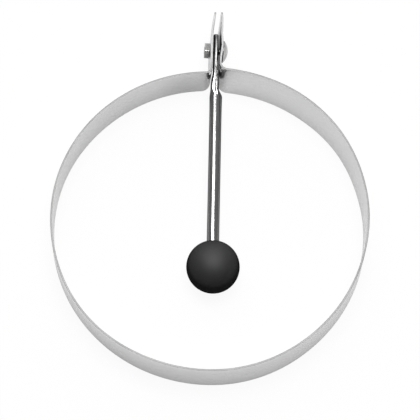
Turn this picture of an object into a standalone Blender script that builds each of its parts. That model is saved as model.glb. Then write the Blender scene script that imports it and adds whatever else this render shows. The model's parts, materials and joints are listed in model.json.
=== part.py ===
"""Egg ring with a folding ball handle.

A strip of sheet steel is bent round into a ring, and its two ends turn outward as a pair of
ears. A screw and a hex nut cross the ears and carry the flattened end of a round steel rod,
which ends in a black ball. The rod folds down across the ring or stands up as a handle.

Metres, +Z up. The ring lies on the floor plane z = 0, and the origin is at the middle of the
whole outline on the floor. The ears point along +Y.
"""
import math

import bmesh
import bpy
from mathutils import Matrix, Vector

# Driving dimensions
RING_DIAMETER = 0.102
BAND_HEIGHT = 0.017
SHEET = 0.00065
BEND_TO_PIVOT = 0.0073
PIVOT_TO_TIP = 0.0109
HANDLE_LENGTH = 0.0753
ROD_DIAMETER = 0.004
BALL_DIAMETER = 0.0171

# Clearances between neighbours
FIT_GAP = 0.0003
FLOOR_GAP = 0.00035
CUT_OVERRUN = 0.001

# Ears: the slot between them, its distance to the right of the ring's middle, the bends that
# lead into it, and the left ear's end, which is squeezed toward the other
SLOT_WIDTH = 0.0026
SLOT_OFFSET = 0.0011
RIGHT_BEND_RADIUS = 0.003
LEFT_BEND_RADIUS = 0.0023
EAR_CORNER_RADIUS = 0.001
SQUEEZE_START = 0.0036
SQUEEZE_BEND_RADIUS = 0.02
SQUEEZE_ANGLE = math.radians(8.8)

# Screw and nut
SHANK_DIAMETER = 0.0025
HEAD_DIAMETER = 0.0073
HEAD_HEIGHT = 0.00165
HEAD_RIM = 0.00035
RECESS_SPAN = 0.0028
RECESS_WIDTH = 0.0007
RECESS_DEPTH = 0.0009
NUT_ACROSS_FLATS = 0.005
NUT_THICKNESS = 0.0018
NUT_CHAMFER_ANGLE = math.radians(30)
NUT_TURN = math.radians(7)
NUT_SIDES = 6
SCREW_TIP_PROUD = 0.0004
SCREW_TIP_CHAMFER = 0.0003

# Handle: the flattened end, whose rounding starts a little past the pivot, the neck between it and
# the round rod, and the rod's end in the ball.
# The neck starts to thicken a little before the ears' front corner, as the handle swings past it,
# and at the shoulder the rod steps to the right of its flattened end.
FLAT_EDGE_RADIUS = 0.0007
EYE_RADIUS = 0.003
EYE_PAST_PIVOT = 0.003
NECK_LEAD = 0.0005
NECK_BLEND = 0.0018
NECK_LENGTH = 0.0007
NECK_THICKNESS = 0.0029
NECK_HEIGHT = 0.0052
SHOULDER_LENGTH = 0.0027
ROD_SIDE_STEP = 0.0004
ROD_PAST_BALL_CENTRE = 0.002
ROD_END_CHAMFER = 0.0004

# Mesh fineness, in counts, and the crease angle from which an edge is shaded sharp
RING_SEGMENTS = 128
BEND_SEGMENTS = 10
SQUEEZE_SEGMENTS = 4
CORNER_SEGMENTS = 4
ROUND_SEGMENTS = 40
BORE_SEGMENTS = 32
BALL_ARC_SEGMENTS = 22
DOME_SEGMENTS = 8
SECTION_CORNER_SEGMENTS = 6
BLEND_SEGMENTS = 5
EYE_SEGMENTS = 9
SHARP_ANGLE = math.radians(30)

# Directions
X_AXIS = Vector((1, 0, 0))
Y_AXIS = Vector((0, 1, 0))
Z_AXIS = Vector((0, 0, 1))

# Half sizes and offsets that follow from the ones above
RING_RADIUS = RING_DIAMETER / 2
CENTRE_LINE_RADIUS = RING_RADIUS - SHEET / 2
BALL_RADIUS = BALL_DIAMETER / 2
ROD_RADIUS = ROD_DIAMETER / 2
SHANK_RADIUS = SHANK_DIAMETER / 2
EAR_LINE_OFFSET = (SLOT_WIDTH + SHEET) / 2
EAR_OUTER_OFFSET = SLOT_WIDTH / 2 + SHEET
FLAT_THICKNESS = SLOT_WIDTH - 2 * FIT_GAP
PIVOT_HOLE_RADIUS = SHANK_RADIUS + FIT_GAP

# Materials: colour, metallic, roughness
SATIN_STEEL = ("satin_steel", (0.62, 0.62, 0.61), 1.0, 0.32)
POLISHED_STEEL = ("polished_steel", (0.66, 0.66, 0.65), 1.0, 0.12)
PLATED_STEEL = ("plated_steel", (0.58, 0.58, 0.57), 1.0, 0.2)
BLACK_PLASTIC = ("black_plastic", (0.018, 0.018, 0.019), 0.0, 0.4)


def bend_centre(x, radius):
    """Return the middle of a bend that touches the ring's circle from outside, at a given x."""
    return Vector((x, math.sqrt((CENTRE_LINE_RADIUS + radius) ** 2 - x ** 2)))


# Places of the ears, bends and pivot, measured from the ring's middle
RIGHT_EAR_X = SLOT_OFFSET + EAR_LINE_OFFSET
LEFT_EAR_X = SLOT_OFFSET - EAR_LINE_OFFSET
RIGHT_BEND = bend_centre(RIGHT_EAR_X + RIGHT_BEND_RADIUS, RIGHT_BEND_RADIUS)
LEFT_BEND = bend_centre(LEFT_EAR_X - LEFT_BEND_RADIUS, LEFT_BEND_RADIUS)
PIVOT_REACH = max(RIGHT_BEND.y, LEFT_BEND.y) + BEND_TO_PIVOT
EAR_REACH = PIVOT_REACH + PIVOT_TO_TIP

# Places in the part's own frame
RING_CENTRE = Vector((0, -(EAR_REACH - RING_RADIUS) / 2, 0))
PIVOT = Vector((SLOT_OFFSET, RING_CENTRE.y + PIVOT_REACH, BALL_RADIUS + FLOOR_GAP))

# Distances from the pivot along the handle
CORNER_SWING = math.hypot(PIVOT_REACH - min(RIGHT_BEND.y, LEFT_BEND.y), BAND_HEIGHT - PIVOT.z)
FLAT_LENGTH = CORNER_SWING - NECK_LEAD
NECK_START = FLAT_LENGTH + NECK_BLEND
NECK_END = NECK_START + NECK_LENGTH


def clear_scene():
    """Remove whatever objects the scene holds."""
    for old in list(bpy.data.objects):
        bpy.data.objects.remove(old, do_unlink=True)


def make_material(recipe):
    """Return the Principled material for a recipe of name, colour, metallic and roughness."""
    name, colour, metallic, roughness = recipe
    material = bpy.data.materials.get(name) or bpy.data.materials.new(name)
    material.use_nodes = True
    shader = material.node_tree.nodes["Principled BSDF"]
    shader.inputs["Base Color"].default_value = (*colour, 1)
    shader.inputs["Metallic"].default_value = metallic
    shader.inputs["Roughness"].default_value = roughness
    return material


def add_object(name, mesh_builder, recipe):
    """Link a named object whose mesh is the builder's, and give it its material."""
    mesh = bpy.data.meshes.new(name)
    bmesh.ops.recalc_face_normals(mesh_builder, faces=mesh_builder.faces)
    mesh_builder.to_mesh(mesh)
    mesh_builder.free()
    mesh.shade_smooth()
    mesh.set_sharp_from_angle(angle=SHARP_ANGLE)
    mesh.materials.append(make_material(recipe))
    placed = bpy.data.objects.new(name, mesh)
    bpy.context.collection.objects.link(placed)
    return placed


def add_cutter(name, mesh_builder):
    """Link an object that only cuts others."""
    mesh = bpy.data.meshes.new(name)
    bmesh.ops.recalc_face_normals(mesh_builder, faces=mesh_builder.faces)
    mesh_builder.to_mesh(mesh)
    mesh_builder.free()
    cutter = bpy.data.objects.new(name, mesh)
    cutter.hide_render = True
    cutter.display_type = "WIRE"
    bpy.context.collection.objects.link(cutter)
    return cutter


def cut(target, cutter):
    """Subtract the cutter from the target with an exact Boolean."""
    modifier = target.modifiers.new(cutter.name, "BOOLEAN")
    modifier.operation = "DIFFERENCE"
    modifier.solver = "EXACT"
    modifier.object = cutter


def smooth_share(share):
    """Ease a share from 0 to 1 with level ends."""
    held = min(max(share, 0), 1)
    return held * held * (3 - 2 * held)


def arc_points(centre, radius, start, end, count):
    """Return points along an arc in the plane, from one angle to the other, ends included."""
    steps = [start + (end - start) * step / count for step in range(count + 1)]
    return [Vector((centre.x + radius * math.cos(a), centre.y + radius * math.sin(a))) for a in steps]


def band_line():
    """Return the band's middle line seen from above, from the right ear's end to the left's.

    The points are measured from the ring's middle.
    """
    right_angle = math.atan2(RIGHT_BEND.y, RIGHT_BEND.x)
    left_angle = math.atan2(LEFT_BEND.y, LEFT_BEND.x)
    line = [Vector((RIGHT_EAR_X, EAR_REACH))]
    line += arc_points(RIGHT_BEND, RIGHT_BEND_RADIUS, math.pi, right_angle + math.pi, BEND_SEGMENTS)
    once_round = left_angle - 2 * math.pi
    line += arc_points(Vector((0, 0)), CENTRE_LINE_RADIUS, right_angle, once_round, RING_SEGMENTS)[1:]
    line += arc_points(LEFT_BEND, LEFT_BEND_RADIUS, left_angle - math.pi, 0, BEND_SEGMENTS)[1:]
    squeeze_centre = Vector((LEFT_EAR_X + SQUEEZE_BEND_RADIUS, PIVOT_REACH + SQUEEZE_START))
    squeezed = math.pi - SQUEEZE_ANGLE
    line += arc_points(squeeze_centre, SQUEEZE_BEND_RADIUS, math.pi, squeezed, SQUEEZE_SEGMENTS)
    last = line[-1]
    line.append(Vector((last.x + (EAR_REACH - last.y) * math.tan(SQUEEZE_ANGLE), EAR_REACH)))
    return line


def wall_offsets(line):
    """Return, for each point of the line, the step from it to the wall's side.

    Inside the line the step follows the mitre. At the ends it runs along X, so that both ears
    end square.
    """
    offsets = []
    for index, point in enumerate(line):
        before = point - line[index - 1] if index else line[1] - point
        after = line[index + 1] - point if index < len(line) - 1 else before
        normal_before = Vector((-before.y, before.x)).normalized()
        normal_after = Vector((-after.y, after.x)).normalized()
        mitre = (normal_before + normal_after).normalized()
        step = mitre * (SHEET / 2) / mitre.dot(normal_after)
        if index in (0, len(line) - 1):
            step = Vector((math.copysign(SHEET / 2, step.x) / abs(mitre.x), 0))
        offsets.append(step)
    return offsets


def make_ring_band():
    """Build the ring with its two ears as one strip, drilled for the screw."""
    builder = bmesh.new()
    line = band_line()
    rings = []
    for point, step in zip(line, wall_offsets(line)):
        near_side = RING_CENTRE + (point - step).to_3d()
        far_side = RING_CENTRE + (point + step).to_3d()
        rise = Z_AXIS * BAND_HEIGHT
        places = (near_side, far_side, far_side + rise, near_side + rise)
        rings.append([builder.verts.new(place) for place in places])
    for near, far in zip(rings, rings[1:]):
        for corner in range(len(near)):
            beside = (corner + 1) % len(near)
            builder.faces.new((near[corner], near[beside], far[beside], far[corner]))
    builder.faces.new(rings[0])
    builder.faces.new(list(reversed(rings[-1])))
    corner_edges = []
    for end in (rings[0], rings[-1]):
        corner_edges.append(builder.edges.get((end[0], end[1])))
        corner_edges.append(builder.edges.get((end[2], end[3])))
    bmesh.ops.bevel(builder, geom=corner_edges, offset=EAR_CORNER_RADIUS, segments=CORNER_SEGMENTS,
                    profile=0.5, affect="EDGES", clamp_overlap=True)
    band = add_object("ring_band", builder, SATIN_STEEL)
    drill_length = 2 * (EAR_OUTER_OFFSET + CUT_OVERRUN)
    drill = add_cutter("screw_hole_drill", cylinder_along_x(PIVOT_HOLE_RADIUS, drill_length, BORE_SEGMENTS))
    drill.location = PIVOT
    cut(band, drill)
    return band


def cylinder_along_x(radius, length, segments):
    """Return a cylinder's mesh builder, centred on the origin with its axis along X."""
    builder = bmesh.new()
    turn = Matrix.Rotation(math.pi / 2, 4, "Y")
    bmesh.ops.create_cone(builder, cap_ends=True, segments=segments, radius1=radius, radius2=radius,
                          depth=length, matrix=turn)
    return builder


def turned(profile, axis, segments):
    """Return the mesh builder of a profile turned round an axis through the origin.

    The profile's points are (along the axis, out from it), and its first and last points lie
    on the axis.
    """
    builder = bmesh.new()
    chain = [builder.verts.new(axis * along + Z_AXIS * away) for along, away in profile]
    edges = [builder.edges.new(pair) for pair in zip(chain, chain[1:])]
    bmesh.ops.spin(builder, geom=chain + edges, cent=(0, 0, 0), axis=axis, angle=2 * math.pi,
                   steps=segments, use_merge=True, use_duplicate=False)
    bmesh.ops.remove_doubles(builder, verts=builder.verts, dist=FIT_GAP / 100)
    return builder


def make_pivot_screw():
    """Build the low-headed screw, seated on the right ear, with its tip past the nut."""
    seat = EAR_OUTER_OFFSET + FIT_GAP
    tip = -(EAR_OUTER_OFFSET + FIT_GAP + NUT_THICKNESS + SCREW_TIP_PROUD)
    head_radius = HEAD_DIAMETER / 2
    dome_height = HEAD_HEIGHT - HEAD_RIM
    dome_radius = (head_radius ** 2 + dome_height ** 2) / (2 * dome_height)
    dome_centre = seat + HEAD_HEIGHT - dome_radius
    dome_angle = math.asin(head_radius / dome_radius)
    profile = []
    for step in range(DOME_SEGMENTS + 1):
        angle = dome_angle * step / DOME_SEGMENTS
        profile.append((dome_centre + dome_radius * math.cos(angle), dome_radius * math.sin(angle)))
    profile += [(seat, head_radius), (seat, SHANK_RADIUS), (tip + SCREW_TIP_CHAMFER, SHANK_RADIUS),
                (tip, SHANK_RADIUS - SCREW_TIP_CHAMFER), (tip, 0)]
    screw = add_object("pivot_screw", turned(profile, X_AXIS, ROUND_SEGMENTS), PLATED_STEEL)
    screw.location = PIVOT
    top = seat + HEAD_HEIGHT
    for number, turn in enumerate((0, math.pi / 2)):
        arm = bmesh.new()
        size = Matrix.Diagonal((2 * RECESS_DEPTH, RECESS_SPAN, RECESS_WIDTH, 1))
        bmesh.ops.create_cube(arm, size=1, matrix=Matrix.Rotation(turn, 4, "X") @ size)
        cutter = add_cutter(f"recess_arm_{number + 1}", arm)
        cutter.location = PIVOT + Vector((top, 0, 0))
        cut(screw, cutter)
    return screw


def make_pivot_nut():
    """Build the hex nut against the left ear, turned as it was left, with its corners chamfered."""
    corner_radius = NUT_ACROSS_FLATS / math.sqrt(3)
    flat_radius = NUT_ACROSS_FLATS / 2
    chamfer_height = (corner_radius - flat_radius) * math.tan(NUT_CHAMFER_ANGLE)
    nut = add_object("pivot_nut", cylinder_along_x(corner_radius, NUT_THICKNESS, NUT_SIDES), PLATED_STEEL)
    nut.location = PIVOT - Vector((EAR_OUTER_OFFSET + FIT_GAP + NUT_THICKNESS / 2, 0, 0))
    nut.rotation_euler = (NUT_TURN, 0, 0)
    half = NUT_THICKNESS / 2
    profile = [(-half, 0), (-half, flat_radius), (-half + chamfer_height, corner_radius),
               (half - chamfer_height, corner_radius), (half, flat_radius), (half, 0)]
    limit = add_cutter("nut_corner_limit", turned(profile, X_AXIS, ROUND_SEGMENTS))
    limit.location = nut.location
    trim = nut.modifiers.new("corner_limit", "BOOLEAN")
    trim.operation = "INTERSECT"
    trim.solver = "EXACT"
    trim.object = limit
    bore_length = NUT_THICKNESS + 2 * CUT_OVERRUN
    bore = add_cutter("nut_bore", cylinder_along_x(PIVOT_HOLE_RADIUS, bore_length, BORE_SEGMENTS))
    bore.location = nut.location
    cut(nut, bore)
    return nut


def rod_section(reach):
    """Return the rod's half thickness, half height and corner radius at a distance from the pivot."""
    flat = Vector((FLAT_THICKNESS / 2, EYE_RADIUS, FLAT_EDGE_RADIUS))
    neck = Vector((NECK_THICKNESS / 2, NECK_HEIGHT / 2, NECK_THICKNESS / 2))
    round_rod = Vector((ROD_RADIUS, ROD_RADIUS, ROD_RADIUS))
    if reach < -EYE_PAST_PIVOT:
        half_height = math.sqrt(max(EYE_RADIUS ** 2 - (reach + EYE_PAST_PIVOT) ** 2, 0))
        return FLAT_THICKNESS / 2, half_height, min(FLAT_EDGE_RADIUS, half_height)
    if reach <= NECK_START:
        return tuple(flat.lerp(neck, smooth_share((reach - FLAT_LENGTH) / (NECK_START - FLAT_LENGTH))))
    return tuple(neck.lerp(round_rod, smooth_share((reach - NECK_END) / SHOULDER_LENGTH)))


def rod_side(reach):
    """Return how far the rod's middle lies to the right of the slot's at a distance from the pivot."""
    return ROD_SIDE_STEP * smooth_share((reach - NECK_END) / SHOULDER_LENGTH)


def section_points(half_thickness, half_height, corner):
    """Return the points of a rounded rectangle, whose corners may fill it to a circle."""
    points = []
    for quadrant in range(4):
        sign_x = 1 if quadrant in (0, 3) else -1
        sign_z = 1 if quadrant in (0, 1) else -1
        for step in range(SECTION_CORNER_SEGMENTS):
            angle = (quadrant + (step + 1 / 2) / SECTION_CORNER_SEGMENTS) * math.pi / 2
            x = sign_x * (half_thickness - corner) + corner * math.cos(angle)
            z = sign_z * (half_height - corner) + corner * math.sin(angle)
            points.append((x, z))
    return points


def spread(start, end, count):
    """Return evenly spaced values from start to end, ends included."""
    return [start + (end - start) * step / count for step in range(count + 1)]


def make_handle_rod(pivot):
    """Build the rod, flattened and drilled at the pivot, running toward -Y into the ball."""
    rod_end = HANDLE_LENGTH + ROD_PAST_BALL_CENTRE
    eye_angles = spread(math.pi / 2, 0, EYE_SEGMENTS)[1:]
    reaches = [-EYE_PAST_PIVOT - EYE_RADIUS * math.sin(angle) for angle in eye_angles]
    reaches += spread(FLAT_LENGTH, NECK_START, BLEND_SEGMENTS)
    reaches += spread(NECK_END, NECK_END + SHOULDER_LENGTH, BLEND_SEGMENTS) + [rod_end - ROD_END_CHAMFER]
    sections = [(reach, section_points(*rod_section(reach))) for reach in reaches]
    tip_radius = ROD_RADIUS - ROD_END_CHAMFER
    sections.append((rod_end, section_points(tip_radius, tip_radius, tip_radius)))
    builder = bmesh.new()
    rings = []
    for reach, points in sections:
        side = rod_side(reach)
        rings.append([builder.verts.new((side + x, -reach, z)) for x, z in points])
    for near, far in zip(rings, rings[1:]):
        for index in range(len(near)):
            beside = (index + 1) % len(near)
            builder.faces.new((near[index], near[beside], far[beside], far[index]))
    builder.faces.new(rings[0])
    builder.faces.new(list(reversed(rings[-1])))
    rod = add_object("handle_rod", builder, POLISHED_STEEL)
    rod.parent = pivot
    drill_length = FLAT_THICKNESS + 2 * CUT_OVERRUN
    drill = add_cutter("handle_eye_drill", cylinder_along_x(PIVOT_HOLE_RADIUS, drill_length, BORE_SEGMENTS))
    drill.parent = pivot
    cut(rod, drill)
    return rod


def make_ball_knob(pivot):
    """Build the ball with the blind bore that the rod's end fills."""
    bore_radius = ROD_RADIUS + FIT_GAP
    bore_end = -(ROD_PAST_BALL_CENTRE + FIT_GAP)
    mouth_angle = math.asin(bore_radius / BALL_RADIUS)
    profile = [(bore_end, 0), (bore_end, bore_radius)]
    for angle in spread(mouth_angle, math.pi, BALL_ARC_SEGMENTS):
        profile.append((BALL_RADIUS * math.cos(angle), BALL_RADIUS * math.sin(angle)))
    ball = add_object("ball_knob", turned(profile, Y_AXIS, ROUND_SEGMENTS), BLACK_PLASTIC)
    ball.parent = pivot
    ball.location = (ROD_SIDE_STEP, -HANDLE_LENGTH, 0)
    return ball


def build():
    """Build every piece of the egg ring, with the handle folded down across it."""
    clear_scene()
    make_ring_band()
    make_pivot_screw()
    make_pivot_nut()
    pivot = bpy.data.objects.new("handle_pivot", None)
    pivot.location = PIVOT
    bpy.context.collection.objects.link(pivot)
    make_handle_rod(pivot)
    make_ball_knob(pivot)


build()
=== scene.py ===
"""Egg ring with a folding ball handle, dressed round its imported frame.

The ring is one strip of satin steel with its two ends bent out as ears. A plated screw and nut
cross the ears and hold the flattened end of a polished rod, which ends in a black ball. The
sizes are in metres, +Z is up and the ears point along +Y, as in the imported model.
"""

import json
import logging
import math
from dataclasses import dataclass, field
from enum import Enum
from functools import cache
from typing import Callable

import bmesh
import bpy
from mathutils import Matrix, Vector

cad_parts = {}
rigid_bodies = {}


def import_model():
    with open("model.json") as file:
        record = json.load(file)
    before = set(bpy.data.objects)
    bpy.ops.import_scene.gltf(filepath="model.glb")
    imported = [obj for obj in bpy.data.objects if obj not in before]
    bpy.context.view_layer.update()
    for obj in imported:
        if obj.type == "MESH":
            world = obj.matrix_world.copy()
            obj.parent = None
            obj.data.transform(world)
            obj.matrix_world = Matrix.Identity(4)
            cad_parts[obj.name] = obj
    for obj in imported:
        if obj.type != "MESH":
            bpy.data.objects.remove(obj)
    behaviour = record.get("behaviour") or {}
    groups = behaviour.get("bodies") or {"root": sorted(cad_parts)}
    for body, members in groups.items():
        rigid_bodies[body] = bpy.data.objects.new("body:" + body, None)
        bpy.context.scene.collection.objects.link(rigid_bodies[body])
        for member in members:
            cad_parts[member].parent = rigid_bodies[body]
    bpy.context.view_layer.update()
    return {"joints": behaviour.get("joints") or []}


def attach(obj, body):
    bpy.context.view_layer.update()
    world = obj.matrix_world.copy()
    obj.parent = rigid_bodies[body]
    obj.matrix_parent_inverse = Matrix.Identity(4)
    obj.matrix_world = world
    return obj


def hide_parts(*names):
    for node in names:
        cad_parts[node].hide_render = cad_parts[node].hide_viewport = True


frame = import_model()
log = logging.getLogger("egg_ring")

Pair = tuple[float, float]
Triple = tuple[float, float, float]
Colour = Triple
Piece = bpy.types.Object
Material = bpy.types.Material
Socket = bpy.types.NodeSocket
Outputs = bpy.types.bpy_prop_collection
PartTest = Callable[[Vector, Vector], bool]
MM = 0.001
NEAR = 1e-6


class Side(Enum):
    """The two sides of the slot, seen from above with the ears at the top."""

    LEFT = -1
    RIGHT = 1


class Zone(Enum):
    """The stretches of the strip, from the right ear round to the left one."""

    RIGHT_EAR = "right ear"
    RIGHT_BEND = "right bend"
    RING = "ring"
    LEFT_BEND = "left bend"
    LEFT_EAR = "left ear"


# Modelling moves that every piece uses


def eased(share: float) -> float:
    """Ease a share from 0 to 1 with level ends.

    Args:
        share: The plain share, which may lie outside 0 to 1.

    Returns:
        The eased share, from 0 to 1.
    """
    held = min(max(share, 0.0), 1.0)
    return held * held * (3 - 2 * held)


def blend(low: float, high: float, share: float) -> float:
    """Return the value at a share of the way from low to high."""
    return low + (high - low) * share


def select_only(piece: Piece | None) -> None:
    """Select one object, or none. The loaded nodes come in selected, so all are deselected first."""
    for other in bpy.context.view_layer.objects:
        other.select_set(False)
    if piece:
        piece.select_set(True)
        bpy.context.view_layer.objects.active = piece


def add_shape(name: str, add: Callable, **settings: object) -> Piece:
    """Add a primitive, name it, and put its place into its mesh.

    Args:
        name: The piece's name.
        add: The operator that adds the primitive.
        **settings: The operator's values.

    Returns:
        The new piece, whose object lies at the origin.
    """
    select_only(None)
    add(**settings)
    piece = bpy.context.active_object
    piece.name = name
    piece.data.name = name
    bpy.ops.object.transform_apply(location=True, rotation=True, scale=True)
    return piece


def start_editing(piece: Piece) -> None:
    """Go into a piece's edit mode with all of it selected."""
    select_only(piece)
    bpy.ops.object.mode_set(mode="EDIT")
    bpy.ops.mesh.select_all(action="SELECT")


def stop_editing() -> None:
    """Leave edit mode."""
    bpy.ops.object.mode_set(mode="OBJECT")


def pick(piece: Piece, kind: str, test: PartTest) -> None:
    """Select only the faces or the edges that pass a test.

    Args:
        piece: The piece in edit mode.
        kind: FACE or EDGE.
        test: Takes a face's middle and normal, or the places of an edge's two ends.
    """
    bpy.ops.mesh.select_mode(type=kind)
    bpy.ops.mesh.select_all(action="DESELECT")
    shape = bmesh.from_edit_mesh(piece.data)
    if kind == "FACE":
        shape.normal_update()
        known = [(face, face.calc_center_median(), face.normal) for face in shape.faces]
    else:
        known = [(edge, edge.verts[0].co, edge.verts[1].co) for edge in shape.edges]
    for part in [part for part, one, other in known if test(one, other)]:
        part.select_set(True)
    bmesh.update_edit_mesh(piece.data)


def resize_by(value: Triple, centre: object) -> None:
    """Resize the selected region about a place."""
    bpy.ops.transform.resize(value=value, center_override=centre)


def split_at(place: Triple, normal: Triple) -> None:
    """Cut all faces of the piece in edit mode along a plane."""
    bpy.ops.mesh.select_all(action="SELECT")
    bpy.ops.mesh.bisect(plane_co=place, plane_no=normal, use_fill=False)


def extrude_by(*step: float) -> None:
    """Extrude the selected region by a step along X, Y and Z."""
    bpy.ops.mesh.extrude_region_move(TRANSFORM_OT_translate={"value": step})


def apply_modifier(piece: Piece, kind: str, **settings: object) -> None:
    """Add a modifier to a piece and apply it.

    Args:
        piece: The piece.
        kind: The modifier's type.
        **settings: The modifier's values.
    """
    select_only(piece)
    modifier = piece.modifiers.new(kind.lower(), kind)
    for name, value in settings.items():
        setattr(modifier, name, value)
    bpy.ops.object.modifier_apply(modifier=modifier.name)


def cut_away(piece: Piece, cutter: Piece, operation: str = "DIFFERENCE") -> None:
    """Cut a piece with another object, which is then removed.

    Args:
        piece: The piece to cut.
        cutter: The shape to cut with.
        operation: DIFFERENCE takes the shape away, INTERSECT keeps only what is inside it.
    """
    apply_modifier(piece, "BOOLEAN", object=cutter, operation=operation, solver="EXACT")
    bpy.data.objects.remove(cutter, do_unlink=True)


def merge_and_face_out(piece: Piece) -> None:
    """Merge a piece's doubled points and turn its faces outward."""
    start_editing(piece)
    bpy.ops.mesh.remove_doubles(threshold=0.1 * NEAR)
    bpy.ops.mesh.select_all(action="SELECT")
    bpy.ops.mesh.normals_make_consistent(inside=False)
    stop_editing()


def dress(piece: Piece, material: Material, sharp: float | None = None) -> None:
    """Give a piece its only material, and shade it smooth.

    Args:
        piece: The piece.
        material: Its material.
        sharp: The turn, in degrees, past which an edge stays sharp. Without it nothing is smoothed.
    """
    if sharp is not None:
        select_only(piece)
        bpy.ops.object.shade_smooth_by_angle(angle=math.radians(sharp))
    piece.data.materials.clear()
    piece.data.materials.append(material)


# Node wiring


class Board:
    """A shader node tree that is wired up node by node."""

    def __init__(self, tree: bpy.types.NodeTree) -> None:
        """Take over a tree and empty it."""
        self.tree = tree
        tree.nodes.clear()

    def add(self, kind: str, sockets: dict | None = None, **settings: object) -> bpy.types.Node:
        """Add a node.

        Args:
            kind: The node's type, without its ShaderNode prefix.
            sockets: Input name or number to a value, or to the output that feeds it.
            **settings: The node's own properties.

        Returns:
            The new node.
        """
        node = self.tree.nodes.new(kind if kind.startswith("Node") else "ShaderNode" + kind)
        for name, value in settings.items():
            setattr(node, name, value)
        self.feed(node, sockets or {})
        return node

    def feed(self, node: bpy.types.Node, sockets: dict) -> None:
        """Set or link a node's inputs.

        Args:
            node: The node.
            sockets: Input name or number to a value, or to the output that feeds it.
        """
        for socket, value in sockets.items():
            if isinstance(value, Socket):
                self.tree.links.new(value, node.inputs[socket])
            else:
                node.inputs[socket].default_value = value

    def parts(self, vector: Socket) -> Outputs:
        """Return a vector's three parts, as outputs."""
        return self.add("SeparateXYZ", {0: vector}).outputs

    def noise(self, vector: Socket, size: Socket, **sockets: float) -> Socket:
        """Add a noise with spots of a given size.

        Args:
            vector: Where it is read.
            size: How large its spots are.
            **sockets: Its other inputs.

        Returns:
            Its factor.
        """
        scale = self.maths("DIVIDE", 1.0, size)
        return self.add("TexNoise", {"Vector": vector, "Scale": scale, **sockets}).outputs[0]

    def maths(self, operation: str, *values: object) -> Socket:
        """Add a Math node.

        Args:
            operation: What it does.
            *values: Its inputs, numbers or outputs of other nodes.

        Returns:
            Its output.
        """
        return self.add("Math", dict(enumerate(values)), operation=operation).outputs[0]

    def times(self, one: Socket, other: object) -> Socket:
        """Multiply two values."""
        return self.maths("MULTIPLY", one, other)

    def plus(self, one: Socket, other: object) -> Socket:
        """Add two values."""
        return self.maths("ADD", one, other)

    def either(self, one: Socket, other: object) -> Socket:
        """Take the larger of two values."""
        return self.maths("MAXIMUM", one, other)

    def remap(self, value: Socket, old: Pair, new: Pair = (0.0, 1.0)) -> Socket:
        """Map a value from one range to another, and hold it there.

        Args:
            value: The output to map.
            old: The range that it has.
            new: The range that it gets.

        Returns:
            The mapped output.
        """
        ends = {"Value": value, "From Min": old[0], "From Max": old[1], "To Min": new[0], "To Max": new[1]}
        return self.add("MapRange", ends).outputs["Result"]

    def tint(self, share: Socket, low: object, high: object) -> Socket:
        """Mix two colours.

        Args:
            share: The output that says how much of the second colour shows.
            low: The first colour, or the output that gives it.
            high: The second colour, or the output that gives it.

        Returns:
            The mixed colour's output.
        """
        ends = [end if isinstance(end, Socket) else (*end, 1) for end in (low, high)]
        return self.add("Mix", {0: share, 6: ends[0], 7: ends[1]}, data_type="RGBA").outputs[2]


def start_group(name: str, sizes: dict[str, float],
                outputs: list[str]) -> tuple[Board, Outputs, bpy.types.Node]:
    """Start a shader node group on a vector, with named sizes.

    Args:
        name: The group's name.
        sizes: The name of each size to its default.
        outputs: The names of its float outputs.

    Returns:
        The group's board, what is put into the group, and its output node.
    """
    tree = bpy.data.node_groups.new(name, "ShaderNodeTree")
    tree.interface.new_socket("Vector", in_out="INPUT", socket_type="NodeSocketVector")
    for label, value in sizes.items():
        socket = tree.interface.new_socket(label, in_out="INPUT", socket_type="NodeSocketFloat")
        socket.default_value = value
    for label in outputs:
        tree.interface.new_socket(label, in_out="OUTPUT", socket_type="NodeSocketFloat")
    board = Board(tree)
    return board, board.add("NodeGroupInput").outputs, board.add("NodeGroupOutput")


@cache
def line_group() -> bpy.types.NodeTree:
    """Build the group that gives drawn or rolled steel its fine lines and its broad patches.

    Returns:
        The group. Its vector's first part runs along the lines.
    """
    board, given, made = start_group(
        "steel lines", {"Line Length": 10 * MM, "Line Width": 0.2 * MM, "Patch Size": 10 * MM},
        ["Lines", "Patches"])
    parts = board.parts(given["Vector"])
    sizes = ("Line Length", "Line Width", "Line Width")
    stretched = board.add("CombineXYZ", {
        number: board.maths("DIVIDE", parts[number], given[size]) for number, size in enumerate(sizes)})
    lines = board.add("TexNoise", {"Vector": stretched.outputs[0], "Scale": 1.0, "Detail": 3.0,
                                   "Roughness": 0.6})
    patches = board.noise(given["Vector"], given["Patch Size"], Detail=2.0)
    board.feed(made, {"Lines": lines.outputs[0], "Patches": patches})
    return board.tree


@cache
def wear_group() -> bpy.types.NodeTree:
    """Build the group that finds worn edges, broken up by a noise.

    Returns:
        The group. Its output is 1 on a worn edge and 0 away from edges.
    """
    board, given, made = start_group("edge wear", {"Edge Width": 0.2 * MM, "Break Size": 0.8 * MM}, ["Wear"])
    rounded = board.add("Bevel", {"Radius": given["Edge Width"]}, samples=6).outputs[0]
    plain = board.add("NewGeometry").outputs["Normal"]
    alike = board.add("VectorMath", {0: rounded, 1: plain}, operation="DOT_PRODUCT").outputs["Value"]
    edge = board.remap(alike, (0.995, 0.9))
    broken = board.noise(given["Vector"], given["Break Size"], Detail=3.0)
    share = board.remap(broken, (0.35, 0.6), (0.25, 1.0))
    board.feed(made, {"Wear": board.times(edge, share)})
    return board.tree


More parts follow.
